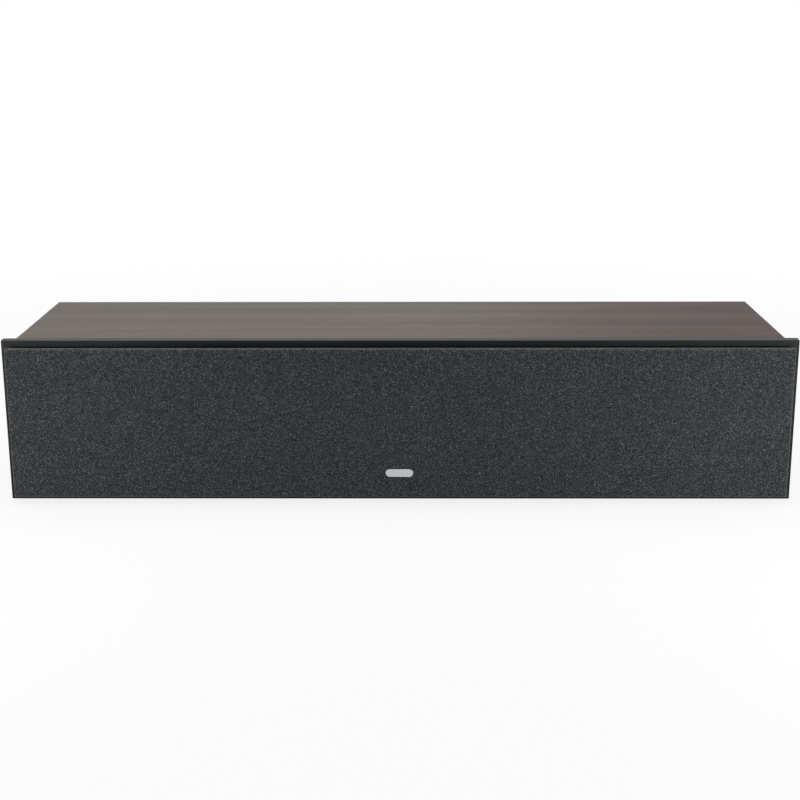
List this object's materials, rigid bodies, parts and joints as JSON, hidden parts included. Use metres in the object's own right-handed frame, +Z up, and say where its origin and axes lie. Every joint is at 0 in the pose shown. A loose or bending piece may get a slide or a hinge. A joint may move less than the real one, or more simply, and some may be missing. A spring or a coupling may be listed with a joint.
{
  "type": "center channel speaker",
  "caption": "Long low loudspeaker cabinet with small woofers either side of a dome tweeter, behind a cloth grille that pulls off its magnets, with rear ports and binding posts.",
  "frame": {"origin": "on the shelf, under the middle of the whole object", "axes": "+X to the listener's right along the cabinet, +Y from the grille to the terminals, +Z up"},
  "size_m": [0.69, 0.2066, 0.1462],
  "materials": {
    "walnut_veneer": "satin dark walnut",
    "black_board": "satin black",
    "raw_board": "raw fibreboard",
    "black_rubber": "matte",
    "grille_plastic": "matte",
    "grille_cloth": "knitted charcoal",
    "plated_magnet": "nickel plate",
    "badge_metal": "satin",
    "black_plastic": "fine texture",
    "gilt_brass": "polished",
    "red_plastic": "gloss",
    "black_gloss_plastic": "gloss",
    "dome_metal": "satin",
    "copper": "enamelled wire",
    "plated_steel": "zinc plate",
    "ferrite": "matte",
    "board_laminate": "solder mask",
    "spacer_plastic": "nylon",
    "capacitor_film": "film wrap",
    "cement": "matte",
    "black_steel": "black oxide",
    "basket_metal": "satin black",
    "cone_paper": "pressed fibre",
    "spider_cloth": "resin-treated cloth"
  },
  "bodies": {
    "cabinet": {"top_board": "walnut_veneer", "bottom_board": "walnut_veneer", "left_board": "walnut_veneer", "right_board": "walnut_veneer", "front_baffle": "black_board", "rear_panel": "black_board", "left_brace": "raw_board", "right_brace": "raw_board", "rubber_feet": "black_rubber", "outer_left_woofer_surround": "black_rubber", "inner_left_woofer_surround": "black_rubber", "inner_right_woofer_surround": "black_rubber", "outer_right_woofer_surround": "black_rubber", "baffle_magnets": "plated_magnet", "left_port_tube": "black_plastic", "right_port_tube": "black_plastic", "terminal_cup": "black_plastic", "tweeter_waveguide": "black_plastic", "red_binding_post": "gilt_brass", "black_binding_post": "gilt_brass", "tweeter_dome": "dome_metal", "tweeter_voice_coil": "copper", "woofer_inductor": "copper", "tweeter_inductor": "copper", "tweeter_top_plate": "plated_steel", "tweeter_yoke": "plated_steel", "woofer_top_plates": "plated_steel", "woofer_yokes": "plated_steel", "tweeter_magnet": "ferrite", "woofer_magnets": "ferrite", "crossover_board": "board_laminate", "board_spacers": "spacer_plastic", "capacitors": "capacitor_film", "power_resistor": "cement", "driver_screws": "black_steel", "panel_screws": "black_steel", "outer_left_woofer_basket": "basket_metal", "inner_left_woofer_basket": "basket_metal", "inner_right_woofer_basket": "basket_metal", "outer_right_woofer_basket": "basket_metal", "woofer_spiders": "spider_cloth"},
    "grille": {"grille_frame": "grille_plastic", "grille_cloth": "grille_cloth", "grille_magnets": "plated_magnet", "badge_plate": "badge_metal"},
    "outer_left_woofer_diaphragm": {"outer_left_woofer_cone": "cone_paper", "outer_left_woofer_dust_cap": "cone_paper", "outer_left_woofer_voice_coil": "copper"},
    "inner_left_woofer_diaphragm": {"inner_left_woofer_cone": "cone_paper", "inner_left_woofer_dust_cap": "cone_paper", "inner_left_woofer_voice_coil": "copper"},
    "inner_right_woofer_diaphragm": {"inner_right_woofer_cone": "cone_paper", "inner_right_woofer_dust_cap": "cone_paper", "inner_right_woofer_voice_coil": "copper"},
    "outer_right_woofer_diaphragm": {"outer_right_woofer_cone": "cone_paper", "outer_right_woofer_dust_cap": "cone_paper", "outer_right_woofer_voice_coil": "copper"},
    "red_nut": {"red_thumb_nut": "red_plastic"},
    "black_nut": {"black_thumb_nut": "black_gloss_plastic"}
  },
  "joints": [
    {"name": "grille_pull_off", "type": "slide", "parent": "cabinet", "child": "grille", "axis": [0, -1, 0], "range_m": [0, 0.15]},
    {"name": "outer_left_woofer_stroke", "type": "slide", "parent": "cabinet", "child": "outer_left_woofer_diaphragm", "axis": [0, -1, 0], "range_m": [-0.004, 0.004], "stiffness_N_per_m": 1100, "deforming": ["outer_left_woofer_surround", "woofer_spiders"]},
    {"name": "inner_left_woofer_stroke", "type": "slide", "parent": "cabinet", "child": "inner_left_woofer_diaphragm", "axis": [0, -1, 0], "range_m": [-0.004, 0.004], "stiffness_N_per_m": 1100, "deforming": ["inner_left_woofer_surround", "woofer_spiders"]},
    {"name": "inner_right_woofer_stroke", "type": "slide", "parent": "cabinet", "child": "inner_right_woofer_diaphragm", "axis": [0, -1, 0], "range_m": [-0.004, 0.004], "stiffness_N_per_m": 1100, "deforming": ["inner_right_woofer_surround", "woofer_spiders"]},
    {"name": "outer_right_woofer_stroke", "type": "slide", "parent": "cabinet", "child": "outer_right_woofer_diaphragm", "axis": [0, -1, 0], "range_m": [-0.004, 0.004], "stiffness_N_per_m": 1100, "deforming": ["outer_right_woofer_surround", "woofer_spiders"]},
    {"name": "red_nut_turn", "type": "hinge", "parent": "cabinet", "child": "red_nut", "pos_m": [0.00953, 0.07935, 0.07425], "axis": [0, 1, 0], "range_deg": [0, 720]},
    {"name": "black_nut_turn", "type": "hinge", "parent": "cabinet", "child": "black_nut", "pos_m": [-0.00953, 0.07935, 0.07425], "axis": [0, 1, 0], "range_deg": [0, 720]}
  ]
}
